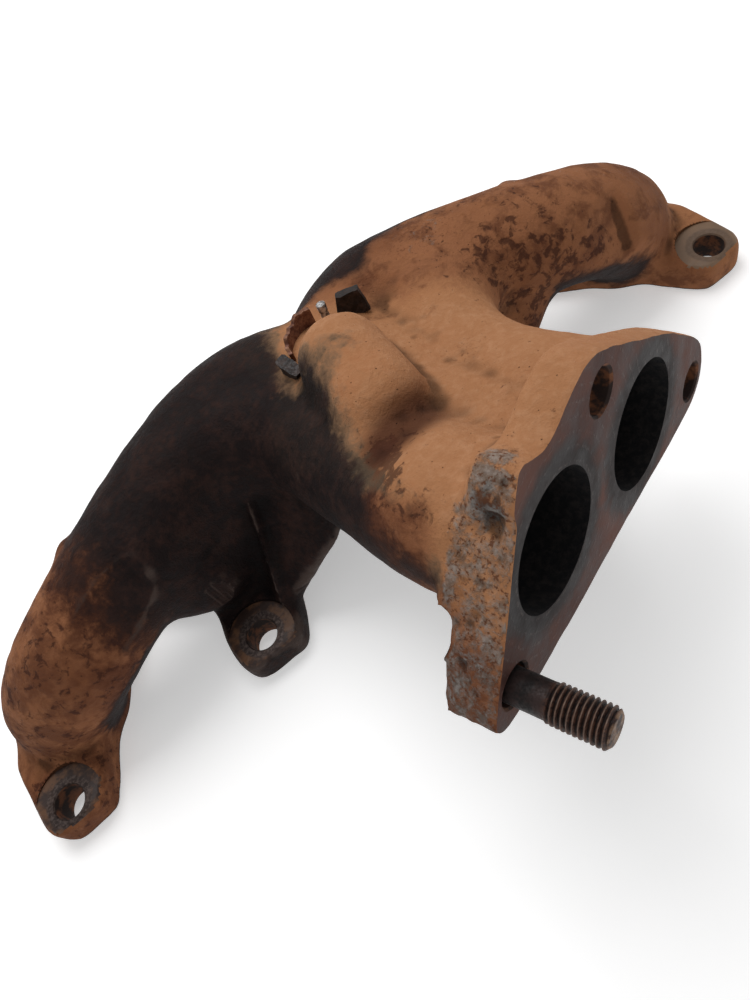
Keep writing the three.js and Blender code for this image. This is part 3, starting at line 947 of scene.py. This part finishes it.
def bandPiece():
    # an arc of sheet whose top edge is torn into a wave and whose middle bows out
    d = strap
    a = np.linspace(d["from"], d["to"], 60) * np.pi
    s = np.linspace(0, 1, 60)
    r = 12.7 + 0.9 * np.sin(np.pi * s) * np.sin(9 * s) * 0.4
    high = d["high"] - 1.2 * s - 0.8 * ramp(np.sin(17 * s + 1), 0.2, 0.9) + 0.4 * np.sin(31 * s)
    low = np.full(60, d["low"])
    line = np.stack([d["centre"][0] + r * np.cos(a), d["centre"][1] + r * np.sin(a), (high + low) / 2], -1)
    out = np.stack([np.cos(a), np.sin(a), 0 * a], -1)
    lean = out * (0.9 * np.sin(np.pi * s))[:, None]
    tall = np.array([0, 0, 1]) * ((high - low) / 2)[:, None] + lean
    piece = addMesh("strap_band_strip", *ribbon(line, tall, out * d["wall"] / 2))
    finishPiece(piece, sheetSteel("strap_rust", (0.105, 0.036, 0.022), (0.260, 0.125, 0.070)),
                "strap_band", 30)


def foldedPiece(name, node, centre, size, turnZ, tip, bendBy, seed):
    # a block as a grid of rounded rectangles, pinched and bowed along its height
    rows, around = 15, 28
    v = np.linspace(-1, 1, rows)[:, None]
    a = np.linspace(0, 2 * np.pi, around, endpoint=False)[None, :]
    box = np.maximum(np.abs(np.cos(a)), np.abs(np.sin(a)))
    x = np.cos(a) / box**0.9 * size[0] / 2 * (1 - 0.18 * v) + bendBy * (1 - v**2)
    y = np.sin(a) / box**0.9 * size[1] / 2 * (1 - 0.10 * np.cos(2.2 * v))
    z = np.broadcast_to(v * size[2] / 2 + 0.12 * x, x.shape)
    x, y, z = np.broadcast_arrays(x, y, z)
    p = np.stack([x, y, z], -1)
    p = p + 0.22 * softNoise(p.reshape(-1, 3), 1.8, seed).reshape(x.shape)[..., None]
    turn = np.array(Matrix.Rotation(turnZ, 3, "Z") @ Matrix.Rotation(tip, 3, "X"))
    rings = p @ turn.T + np.array(centre, float)
    piece = addMesh(name, *closedSkin(rings))
    finishPiece(piece, sheetSteel(name + "_scale", (0.008, 0.006, 0.006), (0.040, 0.026, 0.022)),
                node, 40)


def sheetSteel(name, low, high):
    q = Paint(name)
    mid, fine = q.noise(380, 4, 0.6), q.noise(1600, 3, 0.6)
    colour = q.mix(low, high, q.ramp(mid * 0.6 + fine * 0.4, 0.42, 0.62))
    return q.finish(colour, q.ramp(fine, 0.3, 0.7, 0.40, 0.75), 0.45, q.bump(mid, 0.0003, 0.8), 0.45)


def rivetPiece():
    # a stub of wire with a mushroomed, broken end
    axis = unit((0.05, 0.12, 1.0))
    profile = [(0, 1.35), (6.5, 1.35), (7.2, 1.2), (8.0, 1.45), (9.6, 1.55), (10.4, 1.45), (10.8, 0.9)]
    across = unit(np.cross(axis, (0, 1, 0)))
    piece = turnedRod("strap_rivet_stub", profile, (12.2, 31.6, 70), axis, across, 24)
    q = Paint("bright_steel")
    mid = q.noise(700, 4, 0.6)
    colour = q.mix((0.130, 0.115, 0.110), (0.520, 0.510, 0.500), q.ramp(mid, 0.42, 0.60))
    finishPiece(piece, q.finish(colour, 0.42, 0.8, q.bump(mid, 0.0002, 0.6), 0.5),
                "strap_rivet", 35)


makeStud()
bandPiece()
foldedPiece("strap_lug_fold", "strap_lug", (-7.8, 21.2, 76.6), (4.6, 8.6, 9.4), 0.15, 0.1, 0.6, 31)
foldedPiece("strap_tab_wedge", "strap_tab", (20.2, 28.8, 76.8), (9.2, 3.0, 8.4), -0.55, -0.2, 0.0, 32)
rivetPiece()
print("stud and strap")


def makeStage():
    # one large floor just under the head faces
    corners = [(-9000, -9000), (9000, -9000), (9000, 9000), (-9000, 9000)]
    floor = addMesh("floor", [(x, y, cadLow.z / mm - 0.6) for x, y in corners], [(0, 1, 2, 3)])
    paint = bpy.data.materials.new("floor_paint")
    paint.use_nodes = True
    shader = paint.node_tree.nodes["Principled BSDF"]
    shader.inputs["Base Color"].default_value = (0.9, 0.9, 0.9, 1)
    shader.inputs["Roughness"].default_value = 0.9
    shader.inputs["Emission Color"].default_value = (1, 1, 1, 1)
    shader.inputs["Emission Strength"].default_value = 0.38
    floor.data.materials.append(paint)
    world = bpy.data.worlds.new("studio")
    bpy.context.scene.world = world
    world.use_nodes = True
    world.node_tree.nodes["Background"].inputs["Color"].default_value = (1, 1, 1, 1)
    world.node_tree.nodes["Background"].inputs["Strength"].default_value = 0.42
    bpy.context.scene.view_settings.view_transform = "Standard"


def areaLight(name, place, aim, size, power):
    data = bpy.data.lights.new(name, "AREA")
    data.size = size
    data.energy = power
    lamp = bpy.data.objects.new(name, data)
    bpy.context.scene.collection.objects.link(lamp)
    lamp.location = Vector(place) * mm
    lamp.rotation_euler = (Vector(aim) - Vector(place)).to_track_quat("-Z", "Y").to_euler()


makeStage()
areaLight("key", (60, 330, 700), (10, -10, 60), 0.5, 3.6)
print("stage set")
